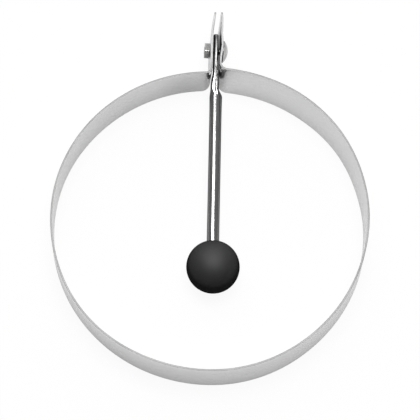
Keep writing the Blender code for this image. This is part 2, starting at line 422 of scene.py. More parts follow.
@cache
def handling_group() -> bpy.types.NodeTree:
    """Build the group that gives a handled surface its smudges and its tiny specks.

    Returns:
        The group, with a soft smudge output and a sparse speck output.
    """
    board, given, made = start_group(
        "handling", {"Smudge Size": 6 * MM, "Speck Size": 0.5 * MM}, ["Smudges", "Specks"])
    soft = board.noise(given["Vector"], given["Smudge Size"], Detail=4.0, Distortion=0.6)
    fine = board.maths("DIVIDE", 1.0, given["Speck Size"])
    dots = board.add("TexVoronoi", {"Vector": given["Vector"], "Scale": fine}).outputs["Distance"]
    board.feed(made, {"Smudges": board.remap(soft, (0.42, 0.68)),
                      "Specks": board.remap(dots, (0.16, 0.06))})
    return board.tree


def start_material(name: str, sockets: dict) -> tuple[Material, Board, bpy.types.Node]:
    """Start a material with one Principled shader.

    Args:
        name: The finish's name.
        sockets: The shader's constant inputs.

    Returns:
        The material, its board and its shader.
    """
    material = bpy.data.materials.new(name)
    material.use_nodes = True
    board = Board(material.node_tree)
    shader = board.add("BsdfPrincipled", sockets)
    board.add("OutputMaterial", {"Surface": shader.outputs[0]})
    return material, board, shader


@dataclass(frozen=True)
class MetalSurface:
    """What the metals share: fine lines that catch the light, and smudges that dull them a little."""

    roughness: Pair
    line_length: float
    line_width: float
    patch_size: float
    line_height: float
    line_strength: float
    smudge_size: float
    smudge_dulling: float

    def wire(self, board: Board, along: Socket, place: Socket) -> tuple[Outputs, dict]:
        """Add the surface to a metal's board.

        Args:
            board: The board.
            along: The vector whose first part runs along the lines.
            place: The vector of the smudges.

        Returns:
            The line group's outputs, and the shader's inputs that the surface feeds.
        """
        lines = board.add("Group", {
            "Vector": along, "Line Length": self.line_length, "Line Width": self.line_width,
            "Patch Size": self.patch_size}, node_tree=line_group()).outputs
        handled = board.add("Group", {"Vector": place, "Smudge Size": self.smudge_size},
                            node_tree=handling_group()).outputs
        rough = board.remap(lines["Lines"], (0.3, 0.7), self.roughness)
        rough = board.plus(rough, board.times(handled["Smudges"], self.smudge_dulling))
        bump = board.add("Bump", {"Height": lines["Lines"], "Distance": self.line_height,
                                  "Strength": self.line_strength})
        return lines, {"Roughness": rough, "Normal": bump.outputs[0]}


@dataclass(frozen=True)
class SatinStrip:
    """Rolled stainless sheet: a satin face, duller sheared edges, painted shade in the slot and a painted
    shade patch left of it.
    """

    low: Colour = (0.64, 0.64, 0.64)
    high: Colour = (0.63, 0.63, 0.63)
    edge: Colour = (0.29, 0.29, 0.29)
    rubbed: Colour = (0.46, 0.46, 0.46)
    # Painted shade tone, for the slot and for the patch beside it.
    painted_shade_colour: Colour = (0.02, 0.02, 0.02)
    edge_dulling: float = 0.31
    height: float = 17 * MM
    # Where the slot's painted shade lies and how strong it gets.
    slot_x: float = 1.1 * MM
    slot_y: Pair = (41.5 * MM, 44.5 * MM)
    slot_shade_strength: float = 0.95
    slot_shade_fade_y: Pair = (55.0 * MM, 58.0 * MM)
    # A painted shade patch on the far inner wall: its middle, its reach and its strength.
    shade_patch_place: Triple = (-7 * MM, 39 * MM, 8 * MM)
    shade_patch_reach: Pair = (12 * MM, 4 * MM)
    shade_patch_strength: float = 0.18
    surface: MetalSurface = MetalSurface(
        roughness=(0.24, 0.32), line_length=14 * MM, line_width=0.16 * MM, patch_size=16 * MM,
        line_height=0.004 * MM, line_strength=0.5, smudge_size=9 * MM, smudge_dulling=0.04)

    def make(self) -> Material:
        """Build the material, whose lines run along the strip.

        Returns:
            The material. It reads the strip's own UV map, in metres along and up.
        """
        material, board, shader = start_material("satin_strip", {"Metallic": 1.0})
        strip = board.add("UVMap", uv_map="strip").outputs[0]
        lines, fed = self.surface.wire(board, strip, strip)
        rise = board.remap(board.parts(strip)[1], (0.0, self.height), (0.1, 0.9))
        share = board.plus(rise, board.remap(lines["Patches"], (0.3, 0.7), (-0.12, 0.12)))
        body = board.tint(share, self.low, self.high)
        body = board.tint(board.remap(lines["Lines"], (0.3, 0.7), (0.0, 0.10)), body, self.high)
        place = board.add("TexCoord").outputs
        normal = board.parts(place["Normal"])
        spot = board.parts(place["Object"])
        worn = board.remap(board.maths("ABSOLUTE", normal[2]), (0.4, 0.85), (0.0, 0.9))
        turned = board.times(board.maths("SUBTRACT", spot[0], self.slot_x), normal[0])
        at_ears = board.remap(spot[1], self.slot_y)
        # Painted shade: faces that turn into the slot between the ears are darkened toward near-black,
        # fading out short of the ears' tips.
        slot_shade = board.remap(turned, (0.0, -0.8 * MM), (0.0, self.slot_shade_strength))
        slot_shade = board.times(slot_shade, at_ears)
        slot_shade = board.times(slot_shade, board.remap(spot[1], self.slot_shade_fade_y, (1.0, 0.0)))
        # Painted shade: a soft dark patch on the far inner wall left of the slot, darkest near its middle.
        away = board.add("VectorMath", {0: place["Object"], 1: self.shade_patch_place}, operation="DISTANCE")
        shade_patch = board.remap(away.outputs["Value"], self.shade_patch_reach, (0.0, self.shade_patch_strength))
        colour = board.tint(board.either(slot_shade, shade_patch), body, self.painted_shade_colour)
        colour = board.tint(worn, colour, board.tint(at_ears, self.edge, self.rubbed))
        dull = board.remap(worn, (0.0, 0.9), (0.0, self.edge_dulling))
        rough = board.plus(fed["Roughness"], dull)
        board.feed(shader, {**fed, "Base Color": colour, "Roughness": rough})
        return material


@dataclass(frozen=True)
class DrawnRod:
    """Polished drawn rod: bright on top, with painted dark reflections on its flanks, and painted shade and
    duller roughness at its pressed end.
    """

    bright: Colour = (0.54, 0.54, 0.54)
    # Painted dark tone: the dark reflections on the flanks and the shade at the pressed end.
    painted_dark_tone: Colour = (0.088, 0.088, 0.090)
    worn: Colour = (0.70, 0.70, 0.69)
    worn_share: float = 0.5
    flank_shade_turn: Pair = (0.55, 0.95)
    pressed_from: Pair = (40.0 * MM, 43.5 * MM)
    pressed_dulling: float = 0.22
    # How far painted shade darkens the pressed end between the ears.
    pressed_painted_shade: float = 0.35
    glint: float = 0.3
    surface: MetalSurface = MetalSurface(
        roughness=(0.09, 0.17), line_length=22 * MM, line_width=0.25 * MM, patch_size=7 * MM,
        line_height=0.003 * MM, line_strength=0.4, smudge_size=6 * MM, smudge_dulling=0.05)

    def make(self) -> Material:
        """Build the material, whose lines run along the rod.

        Returns:
            The material, on object coordinates.
        """
        material, board, shader = start_material(
            "drawn_rod", {"Metallic": 1.0, "Specular Tint": (*(self.glint,) * 3, 1)})
        sources = board.add("TexCoord").outputs
        place = sources["Object"]
        turned = board.add("Mapping", {"Vector": place, "Rotation": (0, 0, math.pi / 2)}).outputs[0]
        lines, fed = self.surface.wire(board, turned, place)
        wear = board.add("Group", {"Vector": place}, node_tree=wear_group()).outputs[0]
        # Painted reflection: faces turned sideways are darkened toward a near-black tone, standing in for
        # the dark surroundings a polished rod shows along its flanks.
        facing = board.maths("ABSOLUTE", board.parts(sources["Normal"])[0])
        side = board.times(board.remap(facing, self.flank_shade_turn),
                           board.remap(lines["Lines"], (0.25, 0.7), (0.8, 1.0)))
        colour = board.tint(side, self.bright, self.painted_dark_tone)
        colour = board.tint(board.times(wear, self.worn_share), colour, self.worn)
        # Painted shade: the pressed end between the ears is darkened toward the same dark tone, as well as
        # dulled.
        pressed = board.remap(board.parts(place)[1], self.pressed_from)
        colour = board.tint(board.times(pressed, self.pressed_painted_shade), colour, self.painted_dark_tone)
        dull = board.times(pressed, self.pressed_dulling)
        rough = board.plus(fed["Roughness"], dull)
        board.feed(shader, {**fed, "Base Color": colour, "Roughness": rough})
        return material


@dataclass(frozen=True)
class PlatedFastener:
    """Nickel plate on a screw and nut: bright where its edges are rubbed, with a painted shadow on the
    head's rim.
    """

    plate: Colour = (0.50, 0.50, 0.49)
    dull: Colour = (0.34, 0.34, 0.34)
    worn: Colour = (0.72, 0.72, 0.71)
    # Painted shadow on the side of the head's rim: its tone, and the places and turns where it lies.
    rim: Colour = (0.10, 0.10, 0.10)
    rim_shadow_from: Pair = (2.2 * MM, 2.5 * MM)
    rim_shadow_turn: Pair = (0.4, 0.2)
    surface: MetalSurface = MetalSurface(
        roughness=(0.16, 0.30), line_length=0.5 * MM, line_width=0.25 * MM, patch_size=1.6 * MM,
        line_height=0.008 * MM, line_strength=0.5, smudge_size=2 * MM, smudge_dulling=0.08)

    def make(self) -> Material:
        """Build the material.

        Returns:
            The material, on object coordinates.
        """
        material, board, shader = start_material("plated_fastener", {"Metallic": 1.0})
        sources = board.add("TexCoord").outputs
        place = sources["Object"]
        lines, fed = self.surface.wire(board, place, place)
        wear = board.add("Group", {"Vector": place}, node_tree=wear_group()).outputs[0]
        patches = board.remap(lines["Patches"], (0.35, 0.65))
        colour = board.tint(wear, board.tint(patches, self.plate, self.dull), self.worn)
        # Painted shadow: the side of the screw head's rim, next to the ear, is darkened toward the rim tone.
        turned = board.maths("ABSOLUTE", board.parts(sources["Normal"])[0])
        rim_shadow_share = board.times(board.remap(turned, self.rim_shadow_turn),
                             board.remap(board.parts(place)[0], self.rim_shadow_from))
        board.feed(shader, {**fed, "Base Color": board.tint(rim_shadow_share, colour, self.rim)})
        return material


@dataclass(frozen=True)
class MouldedBlack:
    """Moulded black plastic with a fine matt skin, a little polished by hands on its upper side."""

    deep: Colour = (0.015, 0.015, 0.0155)
    pale: Colour = (0.023, 0.023, 0.0235)
    roughness: Pair = (0.74, 0.66)
    smudge_size: float = 7 * MM
    smudge_share: float = 0.35
    speck_size: float = 0.9 * MM
    speck_share: float = 0.3
    grain_scale: float = 3800.0
    grain_height: float = 0.012 * MM
    skin_upward: Pair = (0.35, 0.95)
    skin_roughness: float = 0.66
    skin_ior: float = 1.65

    def make(self) -> Material:
        """Build the material.

        Returns:
            The material, on object coordinates.
        """
        material, board, shader = start_material("moulded_black", {
            "Metallic": 0.0, "Specular IOR Level": 0.0, "Coat Roughness": self.skin_roughness,
            "Coat IOR": self.skin_ior})
        sources = board.add("TexCoord").outputs
        place = sources["Object"]
        handled = board.add("Group", {"Vector": place, "Smudge Size": self.smudge_size,
                                      "Speck Size": self.speck_size}, node_tree=handling_group()).outputs
        grain = board.add("TexNoise", {"Vector": place, "Scale": self.grain_scale, "Detail": 2.0}).outputs[0]
        share = board.plus(board.times(handled["Smudges"], self.smudge_share),
                           board.times(handled["Specks"], self.speck_share))
        bump = board.add("Bump", {"Height": grain, "Distance": self.grain_height, "Strength": 0.5})
        upward = board.parts(sources["Normal"])[2]
        board.feed(shader, {
            "Base Color": board.tint(share, self.deep, self.pale),
            "Roughness": board.remap(handled["Smudges"], (0.0, 1.0), self.roughness),
            "Normal": bump.outputs[0],
            "Coat Weight": board.remap(upward, self.skin_upward)})
        return material


@dataclass(frozen=True)
class PaleGround:
    """Plain white ground that keeps part of the object's shadow."""

    colour: Colour = (0.93, 0.93, 0.93)
    seen_share: float = 0.93
    mirrored_share: float = 0.40
    grain_scale: float = 60.0

    def make(self) -> Material:
        """Build the material, white to the camera and in part to the metal.

        Returns:
            The material.
        """
        material, board, shader = start_material(
            "pale_ground", {"Base Color": (*self.colour, 1), "Specular IOR Level": 0.0})
        place = board.add("TexCoord").outputs["Object"]
        grain = board.add("TexNoise", {"Vector": place, "Scale": self.grain_scale, "Detail": 2.0}).outputs[0]
        board.feed(shader, {"Roughness": board.remap(grain, (0.3, 0.7), (0.95, 1.0))})
        path = board.add("LightPath").outputs
        seen = board.times(path["Is Camera Ray"], self.seen_share)
        through = board.either(path["Is Glossy Ray"], path["Is Transmission Ray"])
        share = board.either(seen, board.times(through, self.mirrored_share))
        glow = board.add("Emission", {"Color": (1, 1, 1, 1), "Strength": 1.0})
        mixed = board.add("MixShader", {0: share, 1: shader.outputs[0], 2: glow.outputs[0]})
        output = next(node for node in board.tree.nodes if node.type == "OUTPUT_MATERIAL")
        board.feed(output, {"Surface": mixed.outputs[0]})
        return material


# The ring and its ears


@dataclass
class BandForm:
    """The strip's line seen from above, measured from the ring's middle.

    The true form is the one that the strip is first bent to. The bent form is how the finished
    strip lies at a height: the ring has small dents, its right end leans out and its left end in,
    and both ears lean to the right. A dent is a share of the ring's length, and how many
    millimetres it stands out at the lower edge and at the upper one. A wave is a reach and a shift
    of the right ear, in millimetres.
    """

    ring_radius: float = 51 * MM
    sheet: float = 0.65 * MM
    height: float = 17 * MM
    slot_width: float = 2.6 * MM
    slot_offset: float = 1.1 * MM
    right_radius: float = 3.0 * MM
    left_radius: float = 2.3 * MM
    ear_reach: float = 71.55 * MM
    pivot_reach: float = 60.669 * MM
    squeeze_start: float = 2.8 * MM
    squeeze_radius: float = 20 * MM
    squeeze_angle: float = math.radians(8.3)
    right_swing: Pair = (-0.6 * MM, 0.6 * MM)
    left_swing: Pair = (-0.25 * MM, -0.95 * MM)
    swing_power: float = 2.27
    dents: tuple[Triple, ...] = (
        (0.0, 0.0, -0.20), (0.03, 0.02, -0.15), (0.083, 0.10, 0.25), (0.139, 0.36, 0.32),
        (0.194, 0.05, 0.05), (0.228, 0.08, 0.0), (0.278, 0.0, -0.18), (0.367, 0.0, 0.03),
        (0.456, 0.32, 0.34), (0.544, 0.0, 0.0), (0.633, -0.12, 0.22), (0.722, 0.0, -0.25),
        (0.803, 0.20, -0.26), (0.861, 0.10, -0.24), (0.911, 0.03, -0.28), (0.961, 0.05, -0.28),
        (1.0, 0.0, -0.20))
    right_leaning: Pair = (2.2 * MM, 3.1 * MM)
    left_leaning: Pair = (-0.875 * MM, -0.01 * MM)
    right_radii: Pair = (3.4 * MM, 2.15 * MM)
    left_radii: Pair = (2.7 * MM, 2.0 * MM)
    wave: tuple[Pair, ...] = (
        (53.0, -0.19), (55.2, -0.15), (57.3, 0.12), (59.6, 0.38), (61.7, 0.26), (63.5, 0.11), (69.0, 0.16),
        (71.6, -0.04))

    @property
    def line_radius(self) -> float:
        """Return the radius of the strip's middle line in the ring."""
        return self.ring_radius - self.sheet / 2

    def ear_x(self, side: Side) -> float:
        """Return how far to the right an ear's middle line lies."""
        return self.slot_offset + side.value * (self.slot_width + self.sheet) / 2

    def bend_centre(self, side: Side, ear: float, bend: float, ring: float) -> Vector:
        """Return the middle of a bend that joins an ear and the ring.

        Args:
            side: Which bend.
            ear: How far to the right the ear's middle line lies.
            bend: The bend's radius.
            ring: The ring's radius there.

        Returns:
            The bend's middle.
        """
        x = ear + side.value * bend
        return Vector((x, math.sqrt((ring + bend) ** 2 - x ** 2)))

    @staticmethod
    def turns(right: Vector, left: Vector) -> Pair:
        """Return the angles at which the bends' middles lie round the ring's middle."""
        return math.atan2(right.y, right.x), math.atan2(left.y, left.x)

    def true_ends(self) -> tuple[Vector, Vector, float, float]:
        """Return the middles of the right and left bends in the true form, and their angles."""
        right = self.bend_centre(Side.RIGHT, self.ear_x(Side.RIGHT), self.right_radius, self.line_radius)
        left = self.bend_centre(Side.LEFT, self.ear_x(Side.LEFT), self.left_radius, self.line_radius)
        return right, left, *self.turns(right, left)

    def locate(self, x: float, y: float) -> tuple[Zone, float, float]:
        """Find where a point of the true form lies on the strip.

        Args:
            x: The point's place to the right of the ring's middle.
            y: Its place toward the ears.

        Returns:
            Its zone, its share of that zone, and its distance from the middle line. An ear's
            share runs to its tip, a bend's to the ring, and the ring's to its left end.
        """
        right, left, first, last = self.true_ends()
        around = math.atan2(y, x)
        near = 0.1 * NEAR
        if x > self.slot_offset and y > right.y - near:
            return Zone.RIGHT_EAR, (y - right.y) / (self.ear_reach - right.y), x - self.ear_x(Side.RIGHT)
        if x < self.slot_offset and y > left.y - near:
            return Zone.LEFT_EAR, (y - left.y) / (self.ear_reach - left.y), self.ear_x(Side.LEFT) - x
        if first + near < around < last - near:
            if x > self.slot_offset:
                arm = Vector((x, y)) - right
                return Zone.RIGHT_BEND, math.atan2(-arm.y, -arm.x) / first, self.right_radius - arm.length
            arm = Vector((x, y)) - left
            turned = -math.atan2(arm.y, arm.x)
            return Zone.LEFT_BEND, turned / (math.pi - last), self.left_radius - arm.length
        passed = (first - around) % (2 * math.pi)
        whole = 2 * math.pi - (last - first)
        share = 0.0 if passed > (whole + 2 * math.pi) / 2 else min(passed / whole, 1.0)
        return Zone.RING, share, math.hypot(x, y) - self.line_radius

    def swing(self, share: float, z: float) -> float:
        """Return how far outward the ring stands at a share of its length and a height."""
        from_middle = 1 - 2 * share
        ends = self.right_swing if from_middle > 0 else self.left_swing
        swing = abs(from_middle) ** self.swing_power * blend(*ends, z / self.height)
        return swing + self.dent(share, z)

    def dent(self, share: float, z: float) -> float:
        """Return how far the ring's small dents move it outward, eased from one to the next."""
        points = [(place, blend(low, high, z / self.height) * MM) for place, low, high in self.dents]
        for number, ((here, first), (there, last)) in enumerate(zip(points, points[1:])):
            if share > there:
                continue
            before, after = points[max(number - 1, 0)], points[min(number + 2, len(points) - 1)]
            span = there - here
            slope_in = (last - before[1]) / (there - before[0]) * span
            slope_out = (after[1] - first) / (after[0] - here) * span
            t = (share - here) / span
            return ((2 * t ** 3 - 3 * t ** 2 + 1) * first + (t ** 3 - 2 * t ** 2 + t) * slope_in
                    + (3 * t ** 2 - 2 * t ** 3) * last + (t ** 3 - t ** 2) * slope_out)
        return points[-1][1]

    def wave_at(self, y: float, z: float) -> float:
        """Return how far to the right the right ear's slight wave moves it, most at its top edge."""
        up = eased(z / self.height)
        points = [(place * MM, shift * MM * up) for place, shift in self.wave]
        for (y0, x0), (y1, x1) in zip(points, points[1:]):
            if y0 <= y <= y1:
                return blend(x0, x1, eased((y - y0) / (y1 - y0)))
        return points[0][1] if y < points[0][0] else points[-1][1]

    def squeezed(self, y: float) -> Pair:
        """Return the left ear's shift to the right and its turn at a reach, where it is squeezed."""
        past = y - self.pivot_reach - self.squeeze_start
        if past <= 0:
            return 0.0, 0.0
        arc = self.squeeze_radius * math.sin(self.squeeze_angle)
        if past < arc:
            turn = math.asin(past / self.squeeze_radius)
            return self.squeeze_radius * (1 - math.cos(turn)), turn
        rise = self.squeeze_radius * (1 - math.cos(self.squeeze_angle))
        return rise + (past - arc) * math.tan(self.squeeze_angle), self.squeeze_angle

    def bent(self, zone: Zone, share: float, out: float, z: float) -> Vector:
        """Place a point of the strip as the finished ring has it.

        Args:
            zone: The point's zone.
            share: Its share of that zone.
            out: Its distance from the middle line.
            z: Its height.

        Returns:
            The point, from the ring's middle.
        """
        up = z / self.height
        ends = {}
        for side, leaning, radii, swing in (
                (Side.RIGHT, self.right_leaning, self.right_radii, self.swing(0, z)),
                (Side.LEFT, self.left_leaning, self.left_radii, self.swing(1, z))):
            radius = blend(*radii, up)
            ear = blend(*leaning, up)
            ends[side] = (ear, radius, self.bend_centre(side, ear, radius, self.line_radius + swing))
        first, last = self.turns(ends[Side.RIGHT][2], ends[Side.LEFT][2])
        if zone is Zone.RING:
            around = first - share * (2 * math.pi - (last - first))
            away = self.line_radius + self.swing(share, z) + out
            return Vector((away * math.cos(around), away * math.sin(around), z))
        on_right = zone in (Zone.RIGHT_EAR, Zone.RIGHT_BEND)
        ear, radius, centre = ends[Side.RIGHT if on_right else Side.LEFT]
        if zone in (Zone.RIGHT_EAR, Zone.LEFT_EAR):
            y = blend(centre.y, self.ear_reach, share)
            if on_right:
                return Vector((ear + self.wave_at(y, z) + out, y, z))
            shift, turn = self.squeezed(y)
            return Vector((ear + shift - out * math.cos(turn), y + out * math.sin(turn), z))
        angle = math.pi + share * first if on_right else -share * (math.pi - last)
        shift = self.wave_at(centre.y, z) * (1 - eased(share)) if on_right else 0.0
        reach = radius - out
        return Vector((centre.x + reach * math.cos(angle) + shift, centre.y + reach * math.sin(angle), z))

    def along(self, zone: Zone, share: float) -> float:
        """Return the length of strip from the right ear's tip to a place."""
        right, left, first, last = self.true_ends()
        lengths = (self.ear_reach - right.y, self.right_radius * first,
                   self.line_radius * (2 * math.pi - last + first), self.left_radius * (math.pi - last),
                   self.ear_reach - left.y)
        zones = list(Zone)
        before = sum(lengths[:zones.index(zone)])
        passed = 1 - share if zone in (Zone.RIGHT_EAR, Zone.RIGHT_BEND, Zone.LEFT_BEND) else share
        return before + passed * lengths[zones.index(zone)]


@dataclass
class RingBand:
    """The strip: a ring with two ears."""

    form: BandForm = field(default_factory=BandForm)
    centre_y: float = -10.285 * MM
    ear_steps: int = 14
    bend_steps: int = 14
    ring_steps: int = 200
    rows: int = 8
    corner_radius: float = 1.0 * MM
    edge_radius: float = 0.13 * MM
    sharp: float = 60.0
    smooth_to: float = 40.0
    finish: SatinStrip = field(default_factory=SatinStrip)

    def bend_up(self) -> Piece:
        """Bend the strip to its true form, from the right ear's tip to the left one's.

        Returns:
            The strip, closed and square-edged.
        """
        form = self.form
        right, left, first, last = form.true_ends()
        middle = Vector((0, self.centre_y, 0))
        start = middle + Vector((form.ear_x(Side.RIGHT), form.ear_reach, form.height / 2))
        strip = add_shape("egg_ring_band", bpy.ops.mesh.primitive_plane_add, size=1, location=start,
                          rotation=(math.pi / 2, 0, 0))
        start_editing(strip)
        resize_by((form.sheet, 1, form.height), start)
        ear = (form.ear_reach - right.y) / self.ear_steps
        for _ in range(self.ear_steps):
            extrude_by(0, -ear, 0)
        for centre, angle, steps in (
                (right, first, self.bend_steps),
                (Vector((0, 0)), -(2 * math.pi - last + first), self.ring_steps),
                (left, math.pi - last, self.bend_steps)):
            bpy.ops.mesh.spin(steps=steps, angle=angle, center=middle + centre.to_3d(), axis=(0, 0, -1))
        ear = (form.ear_reach - left.y) / self.ear_steps
        for _ in range(self.ear_steps):
            extrude_by(0, ear, 0)
        stop_editing()
        merge_and_face_out(strip)
        return strip

    def finish_edges(self, strip: Piece) -> None:
        """Cut the strip into rows, round the ears' corners and take the sharpness off its edges.

        Args:
            strip: The square-edged strip.
        """
        form = self.form
        start_editing(strip)
        for row in range(1, self.rows):
            split_at((0, 0, form.height * row / self.rows), (0, 0, 1))
        tip = self.centre_y + form.ear_reach

        def is_tip_corner(one: Vector, other: Vector) -> bool:
            """Say whether an edge crosses the sheet at an ear's corner."""
            level = abs(one.z - other.z) < NEAR and (one.z < NEAR or one.z > form.height - NEAR)
            return level and min(one.y, other.y) > tip - NEAR

        pick(strip, "EDGE", is_tip_corner)
        bpy.ops.mesh.bevel(offset=self.corner_radius, segments=5, profile=0.5, affect="EDGES",
                           clamp_overlap=False)
        bpy.ops.mesh.select_all(action="DESELECT")
        bpy.ops.mesh.edges_select_sharp(sharpness=math.radians(self.sharp))
        bpy.ops.mesh.bevel(offset=self.edge_radius, segments=2, profile=0.6, affect="EDGES",
                           clamp_overlap=False)
        stop_editing()

    def settle(self, strip: Piece) -> None:
        """Move the strip's points from its true form to the bent one, and lay its UV map along it.

        Args:
            strip: The finished strip in its true form.
        """
        form = self.form
        strip.data.uv_layers.new(name="strip")
        while len(strip.data.uv_layers) > 1:
            strip.data.uv_layers.remove(strip.data.uv_layers[0])
        layer = strip.data.uv_layers["strip"]
        places = []
        for point in strip.data.vertices:
            zone, share, out = form.locate(point.co.x, point.co.y - self.centre_y)
            height = point.co.z
            places.append((form.along(zone, share), height + out * 0.5))
            point.co = form.bent(zone, share, out, height) + Vector((0, self.centre_y, 0))
        for loop in strip.data.loops:
            layer.data[loop.index].uv = places[loop.vertex_index]
        strip.data.update()

    def build(self) -> Piece:
        """Build and dress the strip.

        Returns:
            The strip, riding on the ring.
        """
        strip = self.bend_up()
        self.finish_edges(strip)
        self.settle(strip)
        dress(strip, self.finish.make(), self.smooth_to)
        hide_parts("ring_band")
        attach(strip, "ring")
        return strip


# The screw and the nut


@dataclass
class PivotFasteners:
    """The screw through the ears and the nut on its end, both a little askew in their holes."""

    pivot: Vector
    lean: float = math.atan(0.052)
    screw_yaw: float = math.radians(3.5)
    nut_yaw: float = math.radians(2.5)
    right_seat: float = 2.1 * MM
    left_seat: float = 1.88 * MM
    head_radius: float = 3.65 * MM
    head_height: float = 2.03 * MM
    head_rim: float = 0.6 * MM
    dome_steps: int = 9
    recess_span: float = 2.8 * MM
    recess_width: float = 0.7 * MM
    recess_depth: float = 0.9 * MM
    shank_radius: float = 1.25 * MM
    thread_pitch: float = 0.45 * MM
    thread_depth: float = 0.22 * MM
    tip_reach: float = 3.78 * MM
    nut_across: float = 5.0 * MM
    nut_thickness: float = 1.8 * MM
    nut_turn: float = math.radians(55)
    thread_softness: float = 0.12 * MM
    recess_taper: float = 0.62
    corner_softness: float = 0.1 * MM
    chamfer: float = math.radians(28)
    chamfer_share: float = 0.98
    bore_share: float = 1.02
    mouth_share: float = 1.2
    mouth_depth: float = 0.25 * MM
    smooth_to: float = 32.0
    finish: PlatedFastener = field(default_factory=PlatedFastener)

    def set_askew(self, piece: Piece, yaw: float, spin: float = 0.0) -> None:
        """Turn a fastener about the pivot as it sits, leaning with the ears.

        Args:
            piece: The fastener, modelled square on the pivot.
            yaw: Its turn about the upright.
            spin: Its turn about its own axis.
        """
        turn = Matrix.Rotation(-yaw, 4, "Z") @ Matrix.Rotation(self.lean, 4, "Y")
        piece.data.transform(Matrix.Translation(self.pivot) @ turn @ Matrix.Rotation(spin, 4, "X"))
        piece.data.update()

    def disc(self, name: str, radius: float, depth: float, x: float, sides: int) -> Piece:
        """Add a plain disc on the X axis.

        Args:
            name: Its name.
            radius: Its radius to a corner.
            depth: Its thickness.
            x: Its middle.
            sides: Its number of sides.

        Returns:
            The disc, at the origin's height.
        """
        return add_shape(name, bpy.ops.mesh.primitive_cylinder_add, vertices=sides, radius=radius,
                         depth=depth, location=(x, 0, 0), rotation=(0, math.pi / 2, 0))

    def make_screw(self) -> Piece:
        """Model the screw: a low dome with a cross recess, a shank and a threaded tip.

        Returns:
            The screw, in place.
        """
        seat = self.right_seat
        top = seat + self.head_rim
        rim = self.head_rim
        screw = self.disc("pivot_screw_dressed", self.head_radius, rim, seat + rim / 2, 64)
        dome = self.head_height - self.head_rim
        sphere = (self.head_radius ** 2 + dome ** 2) / (2 * dome)
        start_editing(screw)
        pick(screw, "FACE", lambda middle, normal: normal.x > 0.9)
        reach, height = self.head_radius, 0.0
        for step in range(1, self.dome_steps + 1):
            radius = self.head_radius * math.cos(math.pi / 2 * step / (self.dome_steps + 0.6))
            level = math.sqrt(sphere ** 2 - radius ** 2) - (sphere - dome)
            extrude_by(level - height, 0, 0)
            resize_by((1, radius / reach, radius / reach), (top + level, 0, 0))
            reach, height = radius, level
        pick(screw, "FACE", lambda middle, normal: normal.x < -0.9)
        bpy.ops.mesh.inset(thickness=self.head_radius - self.shank_radius)
        turns = int((self.tip_reach + seat) / self.thread_pitch)
        start = seat - (self.tip_reach + seat - turns * self.thread_pitch)
        extrude_by(start - seat, 0, 0)
        root = 1 - self.thread_depth / self.shank_radius
        for share in (root, 1 / root) * turns:
            extrude_by(-self.thread_pitch / 2, 0, 0)
            resize_by((1, share, share), (0, 0, 0))
        bpy.ops.mesh.bevel(offset=self.thread_softness, segments=2, affect="EDGES")
        stop_editing()
        merge_and_face_out(screw)
        crown = (seat + self.head_height, 0, 0)
        depth, span, width = 2 * self.recess_depth, self.recess_span, self.recess_width
        for turn, size in ((0, (depth, span, width)), (math.pi / 2, (depth, width, span))):
            arm = add_shape("recess_arm", bpy.ops.mesh.primitive_cube_add, size=1, location=crown,
                            rotation=(turn, 0, 0))
            start_editing(arm)
            resize_by(size, crown)
            pick(arm, "FACE", lambda middle, normal: normal.x < -0.9)
            resize_by((1, self.recess_taper, self.recess_taper), (seat, 0, 0))
            stop_editing()
            cut_away(screw, arm)
        self.set_askew(screw, self.screw_yaw)
        return screw

    def make_nut(self) -> Piece:
        """Model the hex nut with chamfered corners and a plain bore that opens at both mouths.

        Returns:
            The nut, in place.
        """
        corner = self.nut_across / math.sqrt(3)
        middle = -(self.left_seat + self.nut_thickness / 2)
        nut = self.disc("pivot_nut_dressed", corner, self.nut_thickness, middle, 6)
        start_editing(nut)
        pick(nut, "EDGE", lambda one, other: abs(one.x - other.x) > self.nut_thickness / 2)
        bpy.ops.mesh.bevel(offset=self.corner_softness, segments=2, affect="EDGES")
        stop_editing()
        limit = self.disc("nut_limit", corner, self.nut_thickness, middle, 72)
        start_editing(limit)
        face = self.nut_across / 2 * self.chamfer_share
        rise = (corner - face) * math.tan(self.chamfer)
        for way in (-1, 1):
            pick(limit, "FACE", lambda place, normal: normal.x * way > 0.9)
            bpy.ops.transform.translate(value=(-way * rise, 0, 0))
            extrude_by(way * rise, 0, 0)
            resize_by((1, face / corner, face / corner), (middle, 0, 0))
        stop_editing()
        cut_away(nut, limit, "INTERSECT")
        radius = self.shank_radius * self.bore_share
        bore = self.disc("nut_bore", radius, self.nut_thickness * 1.5, middle, 48)
        start_editing(bore)
        for way in (-1, 1):
            mouth = middle + way * self.nut_thickness / 2
            split_at((mouth - way * self.mouth_depth, 0, 0), (1, 0, 0))
            split_at((mouth, 0, 0), (1, 0, 0))
            pick(bore, "EDGE", lambda one, other: min(one.x * way, other.x * way) > mouth * way - NEAR)
            resize_by((1, self.mouth_share, self.mouth_share), (mouth, 0, 0))
        stop_editing()
        cut_away(nut, bore)
        self.set_askew(nut, self.nut_yaw, self.nut_turn)
        return nut

    def build(self) -> list[Piece]:
        """Build and dress the screw and the nut.

        Returns:
            Both pieces, riding on the ring.
        """
        material = self.finish.make()
        made = []
        for piece, node in ((self.make_screw(), "pivot_screw"), (self.make_nut(), "pivot_nut")):
            dress(piece, material, self.smooth_to)
            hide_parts(node)
            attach(piece, "ring")
            made.append(piece)
        return made


# The handle


